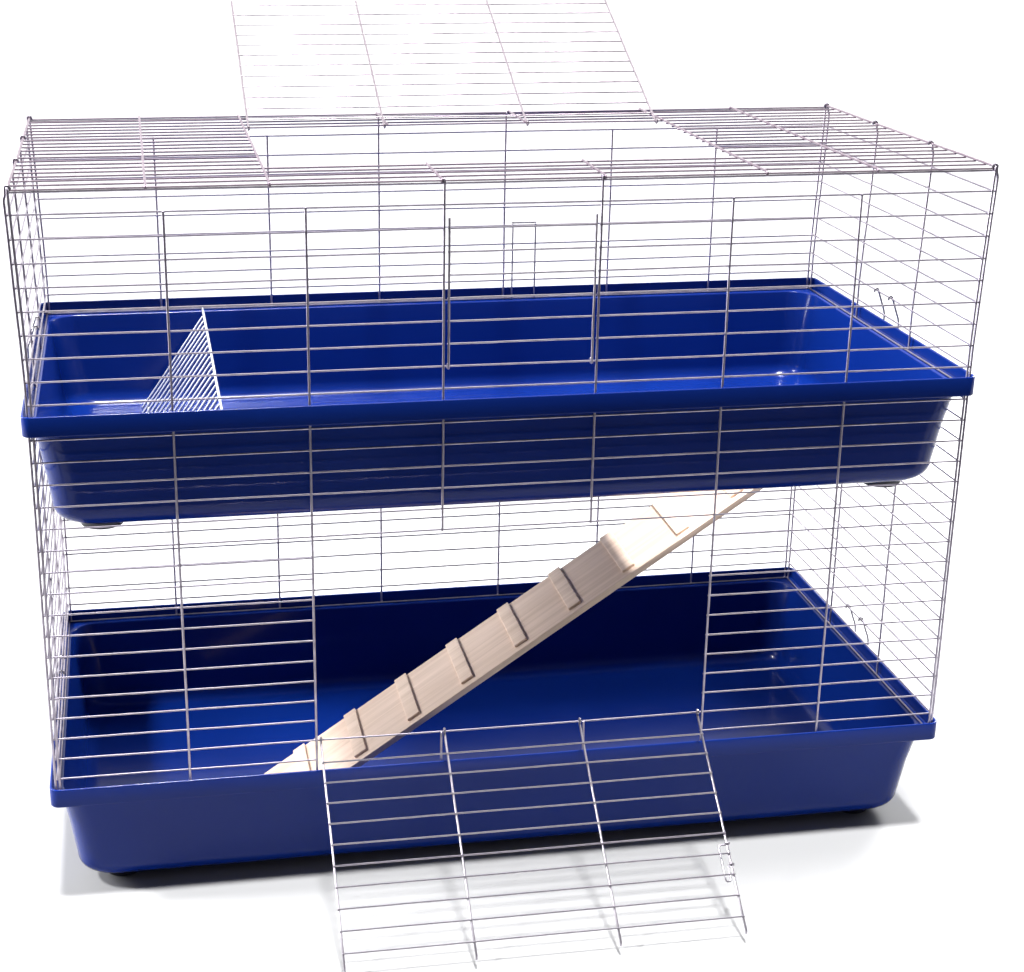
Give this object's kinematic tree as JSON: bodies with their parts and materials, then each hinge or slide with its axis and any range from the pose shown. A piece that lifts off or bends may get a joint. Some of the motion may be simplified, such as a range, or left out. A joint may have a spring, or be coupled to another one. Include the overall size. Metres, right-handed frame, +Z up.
{
  "type": "wire rabbit cage",
  "caption": "Two-storey rabbit cage with moulded trays, welded wire walls and roof, wire doors at front and top, and a cleated wooden ramp.",
  "frame": {"origin": "centre of the whole object's box in plan, on the floor under the feet, with the doors as stored: the lower front door and the roof door open", "axes": "+X along the cage to the right, +Y from the front with the doors to the back, +Z up"},
  "size_m": [1.1908, 1.0016, 1.0523],
  "materials": {
    "tub_plastic": "glossy injection-moulded blue",
    "foot_rubber": "matt dark",
    "wall_wire": "bright zinc plated",
    "door_wire": "bright zinc plated",
    "grille_wire": "bright, nearly white",
    "clip_wire": "bright zinc plated",
    "hook_steel": "bright zinc plated",
    "ramp_timber": "planed pale softwood",
    "cleat_timber": "planed pale softwood"
  },
  "bodies": {
    "cage": {"lower_tub": "tub_plastic", "upper_tub": "tub_plastic", "lower_foot_front_left": "foot_rubber", "lower_foot_front_right": "foot_rubber", "lower_foot_back_left": "foot_rubber", "lower_foot_back_right": "foot_rubber", "upper_foot_front_left": "foot_rubber", "upper_foot_front_right": "foot_rubber", "upper_foot_back_left": "foot_rubber", "upper_foot_back_right": "foot_rubber", "lower_front_panel": "wall_wire", "lower_back_panel": "wall_wire", "lower_left_panel": "wall_wire", "lower_right_panel": "wall_wire", "upper_front_panel": "wall_wire", "upper_back_panel": "wall_wire", "upper_left_panel": "wall_wire", "upper_right_panel": "wall_wire", "roof_left_panel": "wall_wire", "roof_right_panel": "wall_wire", "roof_front_strip": "wall_wire", "roof_back_strip": "wall_wire", "hay_grille": "grille_wire", "back_wall_loop": "clip_wire"},
    "lower_door": {"lower_front_door": "door_wire"},
    "door_latch": {"lower_door_latch": "clip_wire"},
    "upper_door": {"upper_front_door": "door_wire"},
    "roof_door": {"roof_door": "door_wire"},
    "ramp": {"ramp_board": "ramp_timber", "ramp_cleat_01": "cleat_timber", "ramp_cleat_02": "cleat_timber", "ramp_cleat_03": "cleat_timber", "ramp_cleat_04": "cleat_timber", "ramp_cleat_05": "cleat_timber", "ramp_cleat_06": "cleat_timber", "ramp_cleat_07": "cleat_timber", "ramp_cleat_08": "cleat_timber", "ramp_cleat_09": "cleat_timber", "ramp_cleat_10": "cleat_timber", "ramp_hook_near": "hook_steel", "ramp_hook_far": "hook_steel"},
    "lower_left_clip": {"lower_left_clip": "clip_wire"},
    "lower_right_clip": {"lower_right_clip": "clip_wire"},
    "upper_left_clip": {"upper_left_clip": "clip_wire"},
    "upper_right_clip": {"upper_right_clip": "clip_wire"}
  },
  "joints": [
    {"name": "lower_door_hinge", "type": "hinge", "parent": "cage", "child": "lower_door", "pos_m": [0, -0.26173, 0.20161], "axis": [-1, 0, 0], "range_deg": [0, 127.5]},
    {"name": "door_latch_turn", "type": "hinge", "parent": "lower_door", "child": "door_latch", "pos_m": [0.249, -0.41833, 0.07716], "axis": [0, -0.7934, -0.6088], "range_deg": [0, 135]},
    {"name": "upper_door_hinge", "type": "hinge", "parent": "cage", "child": "upper_door", "pos_m": [0, -0.26173, 0.68701], "axis": [1, 0, 0], "range_deg": [0, 160]},
    {"name": "roof_door_hinge", "type": "hinge", "parent": "cage", "child": "roof_door", "pos_m": [0, 0.18617, 0.90845], "axis": [1, 0, 0], "range_deg": [0, 155]},
    {"name": "ramp_lift", "type": "hinge", "parent": "cage", "child": "ramp", "pos_m": [0.392, 0.01817, 0.4987], "axis": [0, 1, 0], "range_deg": [0, 15]},
    {"name": "lower_left_clip_swing", "type": "hinge", "parent": "cage", "child": "lower_left_clip", "pos_m": [-0.5795, 0.01817, 0.20161], "axis": [0, 1, 0], "range_deg": [0, 80]},
    {"name": "lower_right_clip_swing", "type": "hinge", "parent": "cage", "child": "lower_right_clip", "pos_m": [0.5795, 0.01817, 0.20161], "axis": [0, -1, 0], "range_deg": [0, 80]},
    {"name": "upper_left_clip_swing", "type": "hinge", "parent": "cage", "child": "upper_left_clip", "pos_m": [-0.5795, 0.01817, 0.68701], "axis": [0, 1, 0], "range_deg": [0, 80]},
    {"name": "upper_right_clip_swing", "type": "hinge", "parent": "cage", "child": "upper_right_clip", "pos_m": [0.5795, 0.01817, 0.68701], "axis": [0, -1, 0], "range_deg": [0, 80]}
  ]
}
